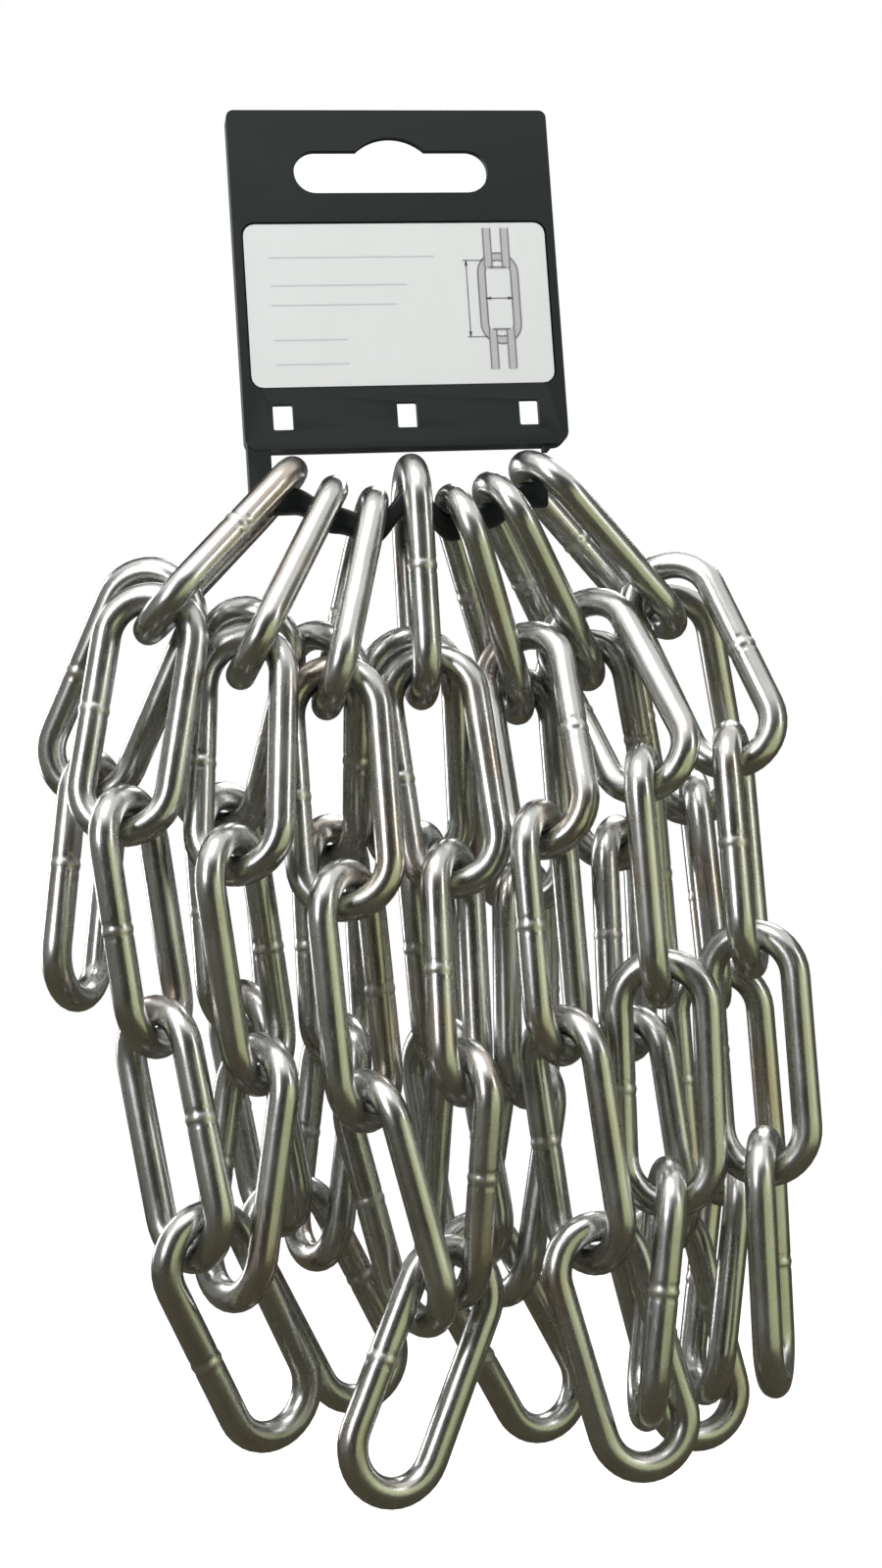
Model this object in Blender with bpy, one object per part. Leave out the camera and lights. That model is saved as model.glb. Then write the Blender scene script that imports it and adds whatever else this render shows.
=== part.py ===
"""Two metres of long-link steel chain, hung in loops from the rail of a plastic hang header.

The frame is the header's own: X to the right, Y to the back, Z up, with the origin at the top of the
hang slot, where a shop's peg carries the header.
"""
import math

import bmesh
import bpy
import numpy as np
from mathutils import Matrix, Vector

# Chain: the wire and the inside of one link
WIRE = 0.005
LINK_INNER_LENGTH = 0.035
LINK_INNER_WIDTH = 0.010
LINK_SIDES = 8
LINK_BEND_STEPS = 6

# Space between pieces that touch
GAP = 0.0003
RAIL_GAP = 0.0005

# Header plate, measured from the top of the hang slot
HEADER_TOP = 0.005
HEADER_BOTTOM = -0.0555
HEADER_DEPTH = 0.004
HEADER_CORNER = 0.003
SLOT_WIDTH = 0.0345
SLOT_HEIGHT = 0.0076
SLOT_HUMP_WIDTH = 0.0122
SLOT_HUMP_RISE = 0.0024
LABEL_MARGIN = 0.00175
LABEL_TOP = -0.0155
LABEL_BOTTOM = -0.0445
LABEL_THICKNESS = 0.0004
LABEL_CORNER = 0.002
RECESS_DEPTH = 0.0009
WINDOW_WIDTH = 0.0035
WINDOW_HEIGHT = 0.0045
WINDOW_MARGIN = 0.00505
WINDOW_CENTRE = -0.0498
POCKET_DEPTH = 0.0018
POCKET_MARGIN = 0.0018
POCKET_RIB = 0.0014
POCKET_COUNT = 3

# Rail moulded under the header
RAIL_TOP = -0.0620
RAIL_THICKNESS = 0.0044
RAIL_WIDTH = 0.0038
RAIL_ROUNDING = 0.0011
RAIL_STEPS = 24
RAIL_POST_INSIDE = 0.0038
RAIL_POST = 0.0040
RAIL_END = 0.0036
RAIL_TIP_WIDTH = 0.0016
RAIL_TIP_RISE = 0.0012
CATCH_WIDTH = 0.0012
CATCH_HEIGHT = 0.0010
HEADER_OVERHANG = 0.0003

# Hooked links: spacing on the rail, sideways lean in degrees, and how deep each one's seat lies
HOOK_SPACING = 0.0068
HOOK_LEAN = (-38.0, -26.0, -12.5, 0.0, 12.5, 26.0, 38.0)
HOOK_SEAT = (0.0, 0.0035, 0.0055, 0.0, 0.0055, 0.0035, 0.0)

# Strands that hang from the hooked links, in a front and a back row of columns
COLUMN_SPACING = 0.0165
ROW_DISTANCE = 0.012
STRAND_REACH = 0.6
FALLING_LINKS = 3
RISING_LINKS = (3, 3, 3, 3, 4, 4)
FREE_LINKS = (2, 4)
LEFT_END = (-0.060, 0.004)
FALLING_TURNS = (150.0, 30.0, 90.0)
LONG_RISING_TURNS = (150.0, 60.0, 160.0, 80.0)
FREE_TURNS = (150.0, 60.0, 150.0, 60.0)

# Seating the links: steps, downward and sideways shift per step, space between the wire centres of links
# that hang in each other, space between the others, push. A loop's bottom link rests in one strand and has
# more space in the other.
SEATING = (
    (100, 0.0, 0.0, 0.0030, 0.0030, 1.0),
    (100, 0.0, 0.0, 0.0040, 0.0040, 1.0),
    (200, 0.0, 0.0, 0.0053, 0.0053, 1.2),
    (300, 0.00003, 0.00005, 0.0055, 0.0055, 1.4),
    (300, 0.00001, 0.00003, 0.0055, 0.0055, 1.4),
    (2500, 0.0, 0.0, 0.00536, 0.0076, 1.5),
    (1200, 0.000002, 0.0, 0.00536, 0.0060, 1.5),
    (500, 0.0, 0.0, 0.00536, 0.0060, 1.5),
)
LOOP_SPACE = 0.0070
DRAW_SHARE = 0.05
MOST_SHIFT = 0.0003
MOST_TURN = 0.02
CROWDING = 0.75
TURNING_ARM = 0.0105
SEARCH_EVERY = 8
NEAREST_STEPS = 5
FINE = 10

BEND_RADIUS = (LINK_INNER_WIDTH + WIRE) / 2
HALF_LEG = (LINK_INNER_LENGTH - LINK_INNER_WIDTH) / 2
PITCH = LINK_INNER_LENGTH - GAP
RAIL_DEPTH_WAY = np.array([0.0, 1.0, 0.0])
MIDDLE_HOOK = (len(HOOK_LEAN) - 1) / 2
HOOK_X = tuple((k - MIDDLE_HOOK) * HOOK_SPACING for k in range(len(HOOK_LEAN)))
HEADER_WIDTH = 2 * (HOOK_X[-1] + RAIL_POST_INSIDE + RAIL_POST + HEADER_OVERHANG)
LABEL_WIDTH = HEADER_WIDTH - 2 * LABEL_MARGIN
WINDOW_SPACING = (HEADER_WIDTH - WINDOW_WIDTH) / 2 - WINDOW_MARGIN

COLOURS = {
    "zinc": ((0.62, 0.63, 0.62, 1.0), 0.28, 1.0),
    "black_plastic": ((0.018, 0.020, 0.021, 1.0), 0.42, 0.0),
    "label_card": ((0.80, 0.79, 0.78, 1.0), 0.45, 0.0),
}


def clear_scene():
    for item in list(bpy.data.objects):
        bpy.data.objects.remove(item)


def material(name, finish):
    colour, roughness, metallic = COLOURS[finish]
    made = bpy.data.materials.new(name)
    made.use_nodes = True
    shader = made.node_tree.nodes["Principled BSDF"]
    shader.inputs["Base Color"].default_value = colour
    shader.inputs["Roughness"].default_value = roughness
    shader.inputs["Metallic"].default_value = metallic
    return made


def add_object(name, mesh, finish=None):
    made = bpy.data.objects.new(name, mesh)
    bpy.context.scene.collection.objects.link(made)
    if finish:
        made.data.materials.append(material(name + "_finish", finish))
    return made


# Outlines in the X-Z plane

def arc(cx, cz, radius, start, end, steps):
    """Points on a circle from one angle to the other, in degrees."""
    turn = math.radians(end - start) / steps
    first = math.radians(start)
    return [
        (cx + radius * math.cos(first + turn * k), cz + radius * math.sin(first + turn * k))
        for k in range(steps + 1)
    ]


def rounded_rectangle(left, right, low, high, radius, steps=4):
    return (
        arc(right - radius, low + radius, radius, -90, 0, steps)
        + arc(right - radius, high - radius, radius, 0, 90, steps)
        + arc(left + radius, high - radius, radius, 90, 180, steps)
        + arc(left + radius, low + radius, radius, 180, 270, steps)
    )


def hang_slot():
    """A slot with round ends and a shallow arched hump for the peg."""
    high = -SLOT_HUMP_RISE
    low = high - SLOT_HEIGHT
    end = SLOT_HEIGHT / 2
    reach = SLOT_WIDTH / 2 - end
    half = SLOT_HUMP_WIDTH / 2
    radius = (half ** 2 + SLOT_HUMP_RISE ** 2) / (2 * SLOT_HUMP_RISE)
    spread = math.degrees(math.asin(half / radius))
    return (
        arc(reach, low + end, end, -90, 90, 8)
        + arc(0.0, -radius, radius, 90 - spread, 90 + spread, 8)
        + arc(-reach, low + end, end, 90, 270, 8)
    )


def prism(name, outline, front, back):
    """The outline extruded from one depth to the other."""
    shape = bmesh.new()
    corners = [shape.verts.new((x, front, z)) for x, z in outline]
    face = shape.faces.new(corners)
    grown = bmesh.ops.extrude_face_region(shape, geom=[face])
    moved = [v for v in grown["geom"] if isinstance(v, bmesh.types.BMVert)]
    bmesh.ops.translate(shape, verts=moved, vec=(0.0, back - front, 0.0))
    bmesh.ops.recalc_face_normals(shape, faces=shape.faces)
    mesh = bpy.data.meshes.new(name)
    shape.to_mesh(mesh)
    shape.free()
    return mesh


def combine(target, mesh, operation="DIFFERENCE"):
    """Cut a form from the target, or join it on."""
    name = mesh.name
    helper = add_object(name, mesh)
    helper.hide_render = True
    helper.display_type = "WIRE"
    step = target.modifiers.new(name, "BOOLEAN")
    step.object = helper
    step.operation = operation
    step.solver = "EXACT"


# Header

def seat_depth(x):
    """How far the rail's top lies below its highest level, eased from seat to seat."""
    place = min(max(x / HOOK_SPACING + MIDDLE_HOOK, 0.0), len(HOOK_SEAT) - 1.0)
    before = min(int(place), len(HOOK_SEAT) - 2)
    ease = (1 - math.cos(math.pi * (place - before))) / 2
    return HOOK_SEAT[before] + (HOOK_SEAT[before + 1] - HOOK_SEAT[before]) * ease


def rail_mesh():
    """The wavy rail as sections along X: each a rectangle with its long edges taken off."""
    end = HOOK_X[-1] + RAIL_END
    waves = [HOOK_X[0] + (HOOK_X[-1] - HOOK_X[0]) * k / RAIL_STEPS for k in range(RAIL_STEPS + 1)]
    stations = [(HOOK_X[0] - RAIL_POST_INSIDE - RAIL_POST / 2, 0.0)]
    stations += [(x, 0.0) for x in waves]
    stations += [(end - RAIL_TIP_WIDTH, 0.0), (end - RAIL_TIP_WIDTH / 2, RAIL_TIP_RISE), (end, RAIL_TIP_RISE)]
    half = RAIL_WIDTH / 2
    inner = half - RAIL_ROUNDING
    shape = bmesh.new()
    rings = []
    for x, rise in stations:
        high = RAIL_TOP - seat_depth(x)
        low = high - RAIL_THICKNESS
        section = [
            (-inner, high + rise), (inner, high + rise), (half, high + rise - RAIL_ROUNDING), (half, low + RAIL_ROUNDING),
            (inner, low), (-inner, low), (-half, low + RAIL_ROUNDING), (-half, high + rise - RAIL_ROUNDING),
        ]
        rings.append([shape.verts.new((x, y, z)) for y, z in section])
    for ring, following in zip(rings, rings[1:]):
        for j in range(len(ring)):
            after = (j + 1) % len(ring)
            shape.faces.new((ring[j], ring[after], following[after], following[j]))
    shape.faces.new(rings[0])
    shape.faces.new(rings[-1])
    bmesh.ops.recalc_face_normals(shape, faces=shape.faces)
    mesh = bpy.data.meshes.new("rail_form")
    shape.to_mesh(mesh)
    shape.free()
    return mesh


def build_header():
    front = -HEADER_DEPTH / 2
    back = HEADER_DEPTH / 2
    half = HEADER_WIDTH / 2
    plate = rounded_rectangle(-half, half, HEADER_BOTTOM, HEADER_TOP, HEADER_CORNER)
    header = add_object("header", prism("header", plate, front, back), "black_plastic")
    combine(header, prism("slot_cutter", hang_slot(), 2 * front, 2 * back))
    reach = LABEL_WIDTH / 2 + GAP
    recess = rounded_rectangle(-reach, reach, LABEL_BOTTOM - GAP, LABEL_TOP + GAP, LABEL_CORNER + GAP)
    combine(header, prism("recess_cutter", recess, 2 * front, front + RECESS_DEPTH))
    for side in (-1, 0, 1):
        middle = side * WINDOW_SPACING
        window = rounded_rectangle(
            middle - WINDOW_WIDTH / 2, middle + WINDOW_WIDTH / 2,
            WINDOW_CENTRE - WINDOW_HEIGHT / 2, WINDOW_CENTRE + WINDOW_HEIGHT / 2, GAP, 2,
        )
        combine(header, prism(f"window_cutter_{side + 2}", window, 2 * front, 2 * back))
    pocket_width = (HEADER_WIDTH - 2 * POCKET_MARGIN - 2 * POCKET_RIB) / POCKET_COUNT
    for side in (-1, 0, 1):
        middle = side * (pocket_width + POCKET_RIB)
        pocket = rounded_rectangle(
            middle - pocket_width / 2, middle + pocket_width / 2,
            LABEL_BOTTOM + POCKET_MARGIN / 2, LABEL_TOP, POCKET_RIB,
        )
        combine(header, prism(f"pocket_cutter_{side + 2}", pocket, back - POCKET_DEPTH, 2 * back))
    post_right = HOOK_X[0] - RAIL_POST_INSIDE
    post_low = RAIL_TOP - RAIL_THICKNESS
    post = rounded_rectangle(post_right - RAIL_POST, post_right, post_low, HEADER_BOTTOM + RAIL_ROUNDING, GAP, 2)
    combine(header, prism("post_form", post, -RAIL_WIDTH / 2, RAIL_WIDTH / 2), "UNION")
    combine(header, rail_mesh(), "UNION")
    catch_left = HOOK_X[-1] + RAIL_END
    catch = rounded_rectangle(
        catch_left, catch_left + CATCH_WIDTH, HEADER_BOTTOM - CATCH_HEIGHT, HEADER_BOTTOM + CATCH_HEIGHT, GAP, 2,
    )
    combine(header, prism("catch_form", catch, -CATCH_WIDTH, CATCH_WIDTH), "UNION")


def build_label():
    front = -HEADER_DEPTH / 2 + RECESS_DEPTH - GAP - LABEL_THICKNESS
    half = LABEL_WIDTH / 2
    outline = rounded_rectangle(-half, half, LABEL_BOTTOM, LABEL_TOP, LABEL_CORNER)
    add_object("label", prism("label", outline, front, front + LABEL_THICKNESS), "label_card")


# Where the links start

def row_dot(first, second):
    return (first * second).sum(-1)


def unit(vector):
    vector = np.asarray(vector, float)
    return vector / math.sqrt(float((vector ** 2).sum()))


def square_to(along, wanted):
    """The wanted direction made square to each link's length, one row for each link."""
    square = wanted - along * row_dot(along, wanted)[:, None]
    return square / np.sqrt(row_dot(square, square))[:, None]


def turned(degrees):
    return np.array([math.cos(math.radians(degrees)), math.sin(math.radians(degrees)), 0.0])


def start_link(centre, along, wanted, column, hooked=False):
    along = unit(along)
    return {
        "centre": np.asarray(centre, float),
        "along": along,
        "across": square_to(along[None, :], np.asarray(wanted))[0],
        "column": column,
        "hooked": hooked,
        "bottom": False,
    }


def seat_point(k):
    """The middle of a hooked link's wire above the rail's seat k."""
    return [HOOK_X[k], 0.0, RAIL_TOP - HOOK_SEAT[k] + RAIL_GAP + WIRE / 2]


def on_seat(crown, along):
    """Centres of links that lie on their seats: the bend stays on the rail while the link leans or swings."""
    lean = along * np.array([1.0, 0.0, 1.0])
    lean = lean / np.sqrt(row_dot(lean, lean))[:, None]
    return crown + lean * BEND_RADIUS + along * HALF_LEG


def hooked_link(k):
    """A link hung edge-on over the rail's seat k."""
    along = unit([math.tan(math.radians(HOOK_LEAN[k])), 0.0, -1.0])
    centre = on_seat(np.array([seat_point(k)]), along[None, :])[0]
    return start_link(centre, along, RAIL_DEPTH_WAY, (HOOK_X[k], 0.0), True)


def strand(hook, row, turns, count, last=None):
    """Links that hang one below the other from a hooked link, towards a column of their row."""
    column = (COLUMN_SPACING * (hook["column"][0] / HOOK_SPACING), row * ROW_DISTANCE)
    lift = 0.0 if row < 0 else WIRE / 2
    low = hook["centre"] + hook["along"] * (HALF_LEG + BEND_RADIUS - WIRE - GAP - lift)
    node = low + np.array([0.0, row * (WIRE / 2 + GAP / 3), 0.0])
    links = []
    for k in range(count):
        goal = last if last and k == count - 1 else column
        shift = np.array([goal[0] - node[0], goal[1] - node[1]])
        length = math.sqrt(float((shift ** 2).sum()))
        shift *= min(1.0, STRAND_REACH * PITCH / max(length, GAP))
        drop = math.sqrt(PITCH ** 2 - float((shift ** 2).sum()))
        step = np.array([shift[0], shift[1], -drop])
        slide = unit(step) * (WIRE / 2 if k == 0 else 0.0)
        links.append(start_link(node + step / 2 + slide, step, turned(turns[k]), goal))
        node = node + step + slide
    return links, node


def loop_bottom(falling_end, rising_end, column, level):
    """The link at the bottom of a loop: it hangs from both strands, or slants between uneven ones."""
    middle = (falling_end + rising_end) / 2
    if level:
        return start_link(middle - np.array([0.0, 0.0, PITCH / 2]), [0.0, 0.0, -1.0], [1.0, 0.0, 0.0], column)
    along = unit(rising_end - falling_end)
    return start_link(middle, along, [along[2], 0.0, -along[0]], column)


def start_chain():
    """All links in the chain's own order, from its left free end to its right one."""
    hooks = [hooked_link(k) for k in range(len(HOOK_LEAN))]
    left, _ = strand(hooks[0], 1, FREE_TURNS, FREE_LINKS[0])
    for link in left:
        link["column"] = LEFT_END
    chain = left[::-1]
    for k, hook in enumerate(hooks):
        chain.append(hook)
        if k == len(hooks) - 1:
            break
        row = -1 if k % 2 == 0 else 1
        middle = COLUMN_SPACING * (k + 0.5 - MIDDLE_HOOK)
        rising_count = RISING_LINKS[k]
        level = rising_count == FALLING_LINKS
        aside = (WIRE + GAP) / 2
        turns = FALLING_TURNS if level else LONG_RISING_TURNS
        rising_aside = aside if level else 2 * aside + GAP
        falling, low = strand(hook, row, FALLING_TURNS, FALLING_LINKS, (middle - aside, row * ROW_DISTANCE))
        goal = (middle + rising_aside, row * ROW_DISTANCE)
        rising, other_low = strand(hooks[k + 1], row, turns, rising_count, goal)
        bottom = loop_bottom(low, other_low, (middle, row * ROW_DISTANCE), level)
        bottom["bottom"] = True
        chain += falling + [bottom] + rising[::-1]
    right, _ = strand(hooks[-1], -1, FREE_TURNS, FREE_LINKS[1])
    return chain + right


# Seating the links in each other

def wire_samples(count=7):
    """Points on a link's four stretches, as distances across and along it."""
    bend = [math.pi * k / (count - 1) for k in range(count)]
    leg = [HALF_LEG * (2 * k / (count - 1) - 1) for k in range(count)]
    upper = [(BEND_RADIUS * math.cos(t), -HALF_LEG - BEND_RADIUS * math.sin(t)) for t in bend]
    lower = [(BEND_RADIUS * math.cos(t), HALF_LEG + BEND_RADIUS * math.sin(t)) for t in bend]
    return np.array([upper, lower, [(BEND_RADIUS, s) for s in leg], [(-BEND_RADIUS, s) for s in leg]])


def nearest_on_wire(centre, along, across, point):
    """The point of each link's wire centre line nearest to the given point."""
    offset = point - centre
    side = row_dot(offset, across)
    length = row_dot(offset, along)
    held = np.clip(length, -HALF_LEG, HALF_LEG)
    reach = np.sqrt(side ** 2 + (length - held) ** 2)
    reach = np.where(reach < 1e-12, 1.0, reach)
    side = side / reach * BEND_RADIUS
    length = held + (length - held) / reach * BEND_RADIUS
    return centre + across * side[:, None] + along * length[:, None]


def near_stretches(centre, along, across, samples, space):
    """Pairs of links with a stretch of wire near each other, and a first point on each pair."""
    first, second = np.triu_indices(len(centre), 1)
    span = 2 * (HALF_LEG + BEND_RADIUS) + 2 * WIRE
    close = row_dot(centre[first] - centre[second], centre[first] - centre[second]) < span ** 2
    first = first[close]
    second = second[close]
    points = (
        centre[:, None, None, :]
        + samples[None, :, :, :1] * across[:, None, None, :]
        + samples[None, :, :, 1:] * along[:, None, None, :]
    )
    stretches, count = samples.shape[:2]
    apart = points[first][:, :, None, :, None, :] - points[second][:, None, :, None, :, :]
    apart = (apart ** 2).sum(-1).reshape(len(first), stretches ** 2, count ** 2)
    nearest = apart.argmin(-1)
    pair, stretch = np.nonzero(apart.min(-1) < (space + WIRE) ** 2)
    start = points[first[pair], stretch // stretches, nearest[pair, stretch] // count]
    return first[pair], second[pair], start


def wanted_space(first, second, hooked, bottom, held, free):
    """Space for each pair: small where they hang in each other, or side by side in a hooked link's bend."""
    between = hooked[np.minimum(first + 1, len(hooked) - 1)]
    joined = second - first == 1
    beside = (second - first == 2) & between
    space = np.where(joined | beside, held, free)
    return np.where(joined & bottom[first], min(free, LOOP_SPACE), space)


def seat_chain(chain):
    """Move and turn the links in small steps until every two wires keep their space.

    The hooked links stay on their seats and only swing there. Each step lowers the links a little, draws
    them to their columns, and pushes apart the wires that are too close. The loops settle in each other
    as they would when they hang. Values are rounded every step, so each run ends alike.
    """
    centre = np.array([link["centre"] for link in chain])
    along = np.array([link["along"] for link in chain])
    across = np.array([link["across"] for link in chain])
    column = np.array([link["column"] for link in chain])
    hooked = np.array([link["hooked"] for link in chain])
    bottom = np.array([link["bottom"] for link in chain])
    crown = np.array([seat_point(k) for k in range(len(HOOK_X))])
    samples = wire_samples()
    turn_ease = 1.0 / TURNING_ARM ** 2
    for steps, drop, draw, held_space, free_space, push in SEATING:
        for step in range(steps):
            if step % SEARCH_EVERY == 0:
                first, second, on_first = near_stretches(centre, along, across, samples, free_space)
                space = wanted_space(first, second, hooked, bottom, held_space, free_space)
            centre[:, 2] -= drop
            centre[:, :2] += np.clip((column - centre[:, :2]) * DRAW_SHARE, -draw, draw)
            for _ in range(NEAREST_STEPS):
                on_second = nearest_on_wire(centre[second], along[second], across[second], on_first)
                on_first = nearest_on_wire(centre[first], along[first], across[first], on_second)
            apart = on_first - on_second
            distance = np.sqrt(row_dot(apart, apart))
            tight = (distance < space) & (distance > 1e-9)
            one = first[tight]
            two = second[tight]
            away = apart[tight] / distance[tight][:, None]
            turn_one = np.cross(on_first[tight] - centre[one], away)
            turn_two = np.cross(on_second[tight] - centre[two], away)
            ease = 2.0 + turn_ease * (row_dot(turn_one, turn_one) + row_dot(turn_two, turn_two))
            amount = ((space[tight] - distance[tight]) / ease)[:, None]
            shift = np.zeros_like(centre)
            turn = np.zeros_like(centre)
            touches = np.zeros(len(centre))
            np.add.at(shift, one, away * amount)
            np.add.at(shift, two, -away * amount)
            np.add.at(turn, one, turn_one * amount * turn_ease)
            np.add.at(turn, two, -turn_two * amount * turn_ease)
            np.add.at(touches, one, 1.0)
            np.add.at(touches, two, 1.0)
            share = (push / np.maximum(touches, 1.0) ** CROWDING)[:, None]
            shift = np.clip(shift * share, -MOST_SHIFT, MOST_SHIFT)
            turn = np.clip(turn * share, -MOST_TURN, MOST_TURN)
            centre += shift
            along = along + np.cross(turn, along)
            across = across + np.cross(turn, across)
            along = along / np.sqrt(row_dot(along, along))[:, None]
            across = across - along * row_dot(along, across)[:, None]
            across = across / np.sqrt(row_dot(across, across))[:, None]
            across[hooked] = square_to(along[hooked], RAIL_DEPTH_WAY)
            centre[hooked] = on_seat(crown, along[hooked])
            centre = np.round(centre, FINE)
            along = np.round(along, FINE)
            across = np.round(across, FINE)
    return centre, along, across


# Links

def link_mesh():
    """One link, its upper bend's centre at the origin and its length down -Z."""
    upper = arc(0.0, 0.0, BEND_RADIUS, 0, 180, LINK_BEND_STEPS)
    lower = arc(0.0, -2 * HALF_LEG, BEND_RADIUS, 180, 360, LINK_BEND_STEPS)
    centres = [(0.0, 0.0)] * len(upper) + [(0.0, -2 * HALF_LEG)] * len(lower)
    shape = bmesh.new()
    rings = []
    for (x, z), (cx, cz) in zip(upper + lower, centres):
        outward = Vector((x - cx, 0.0, z - cz)).normalized()
        ring = []
        for k in range(LINK_SIDES):
            angle = 2 * math.pi * (k + 0.5) / LINK_SIDES
            offset = outward * math.cos(angle) + Vector((0.0, math.sin(angle), 0.0))
            ring.append(shape.verts.new(Vector((x, 0.0, z)) + offset * WIRE / 2))
        rings.append(ring)
    for k, ring in enumerate(rings):
        following = rings[(k + 1) % len(rings)]
        for j in range(LINK_SIDES):
            after = (j + 1) % LINK_SIDES
            shape.faces.new((ring[j], ring[after], following[after], following[j]))
    bmesh.ops.recalc_face_normals(shape, faces=shape.faces)
    mesh = bpy.data.meshes.new("link")
    shape.to_mesh(mesh)
    shape.free()
    mesh.shade_smooth()
    return mesh


def build_chain():
    """Every link a piece of its own, its origin at the middle of the bend that it swings on."""
    centre, along, across = seat_chain(start_chain())
    mesh = link_mesh()
    for k in range(len(centre)):
        name = f"link_{k + 1:02d}"
        link = add_object(name, mesh.copy(), "zinc")
        down = Vector(along[k])
        side = Vector(across[k])
        turn = Matrix((side, side.cross(down), -down)).transposed()
        link.matrix_world = Matrix.Translation(Vector(centre[k]) - down * HALF_LEG) @ turn.to_4x4()


clear_scene()
build_header()
build_label()
build_chain()
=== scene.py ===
"""A bundle of long-link steel chain on its hang header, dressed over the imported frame."""
import math

import bmesh
import bpy
import numpy as np
from mathutils import Matrix, Vector


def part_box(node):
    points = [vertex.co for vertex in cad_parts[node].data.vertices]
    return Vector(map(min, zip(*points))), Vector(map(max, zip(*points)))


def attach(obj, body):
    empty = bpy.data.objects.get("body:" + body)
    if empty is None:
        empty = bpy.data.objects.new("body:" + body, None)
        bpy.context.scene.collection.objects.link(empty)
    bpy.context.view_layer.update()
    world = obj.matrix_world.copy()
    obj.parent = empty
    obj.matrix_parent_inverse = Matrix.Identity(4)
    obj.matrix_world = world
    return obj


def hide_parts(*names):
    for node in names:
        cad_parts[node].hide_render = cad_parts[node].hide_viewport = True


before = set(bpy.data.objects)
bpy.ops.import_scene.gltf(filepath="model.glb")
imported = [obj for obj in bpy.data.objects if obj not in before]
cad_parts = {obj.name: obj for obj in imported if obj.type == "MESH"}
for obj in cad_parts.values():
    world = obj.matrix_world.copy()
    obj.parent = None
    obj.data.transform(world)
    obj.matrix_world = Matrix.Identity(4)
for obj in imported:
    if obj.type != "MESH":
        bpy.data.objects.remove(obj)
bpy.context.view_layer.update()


# Chain links. Each is 5 mm drawn steel wire, bent and butt welded on one leg, then tumbled and bright zinc
# plated. The links hang in each other's bends, and seven of them on the header's rail. The frame's faceted
# links give the place and lean of each; the pieces here are the same links with round wire and their weld.
WIRE = 0.005
LINK_INNER_LENGTH = 0.035
LINK_INNER_WIDTH = 0.010
LINK_COUNT = 57
BEND_RADIUS = (LINK_INNER_WIDTH + WIRE) / 2
HALF_LEG = (LINK_INNER_LENGTH - LINK_INNER_WIDTH) / 2
WIRE_SIDES = 22
BEND_STATIONS = 18
BACK_LEG_STATIONS = 8
LEG_SHARE = (0.0, 0.25, 0.5, 0.75)
WELD_SHARE = tuple(-1.0 + k / 8 for k in range(17))
WELD_RISE = 0.00014
WELD_LENGTH = 0.0006
WELD_GROOVE = 0.00010
WELD_REACH = 0.004
WELD_WANDER = 0.0012
WANDER_TURN = 2.4
RIGHT_WELD_EVERY = 3
FAR_FROM_WELD = 1.0
PLATING_SHIFT = 0.37
PLATING_PER_METRE = 10
ZINC_COLOUR = (0.66, 0.67, 0.65, 1.0)
ZINC_DULL = (0.47, 0.47, 0.45, 1.0)
ZINC_WARM = (0.56, 0.43, 0.33, 1.0)
WELD_COLOUR = (0.72, 0.71, 0.66, 1.0)
WARM_SHARE = 0.5
BURNT_SHARE = 0.25
WELD_COLOUR_SHARE = 0.6
PATCH_SCALE = 120.0
WARM_SCALE = 55.0
DENT_SCALE = 210.0
DRAWN_LINES = (9.0, 2.6)
SCRATCH_LINES = (40.0, 7.0)
LINE_HEIGHT = 0.8
DENT_HEIGHT = 0.9
SCRATCH_HEIGHT = -0.12
ZINC_ROUGH = 0.165
PATCH_ROUGH = 0.20
SCRATCH_ROUGH = 0.10
WELD_ROUGH = 0.12
ZINC_BUMP = 0.13
ZINC_RELIEF = 0.00012


def socket(group, name, direction, kind):
    return group.interface.new_socket(name=name, in_out=direction, socket_type=kind)


def node(tree, kind, **settings):
    made = tree.nodes.new(kind)
    for key, value in settings.items():
        setattr(made, key, value)
    return made


def feed(tree, value, target):
    """Link a socket to an input, or set a plain value on it."""
    if isinstance(value, bpy.types.NodeSocket):
        tree.links.new(value, target)
    else:
        target.default_value = value


def mix_colour(tree, factor, first, second):
    """A colour mix. Each of the three inputs is a socket or a plain value."""
    made = node(tree, "ShaderNodeMix", data_type="RGBA")
    for place, value in ((0, factor), (6, first), (7, second)):
        feed(tree, value, made.inputs[place])
    return made.outputs[2]


def calculate(tree, operation, *values):
    """A math node. Each input is a socket or a plain value."""
    made = node(tree, "ShaderNodeMath", operation=operation)
    for place, value in enumerate(values):
        feed(tree, value, made.inputs[place])
    return made.outputs[0]


def ramp(tree, value, low, high):
    """A smooth step from the grey of one stop to the grey of the other. A stop is (place, grey)."""
    made = node(tree, "ShaderNodeValToRGB")
    made.color_ramp.interpolation = "EASE"
    for element, (place, grey) in zip(made.color_ramp.elements, (low, high)):
        element.position = place
        element.color = (grey, grey, grey, 1.0)
    tree.links.new(value, made.inputs[0])
    return made.outputs[0]


def noise(tree, place, scale, detail=3.0, rough=0.55):
    made = node(tree, "ShaderNodeTexNoise")
    made.inputs["Scale"].default_value = scale
    made.inputs["Detail"].default_value = detail
    made.inputs["Roughness"].default_value = rough
    tree.links.new(place, made.inputs["Vector"])
    return made.outputs["Fac"]


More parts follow.
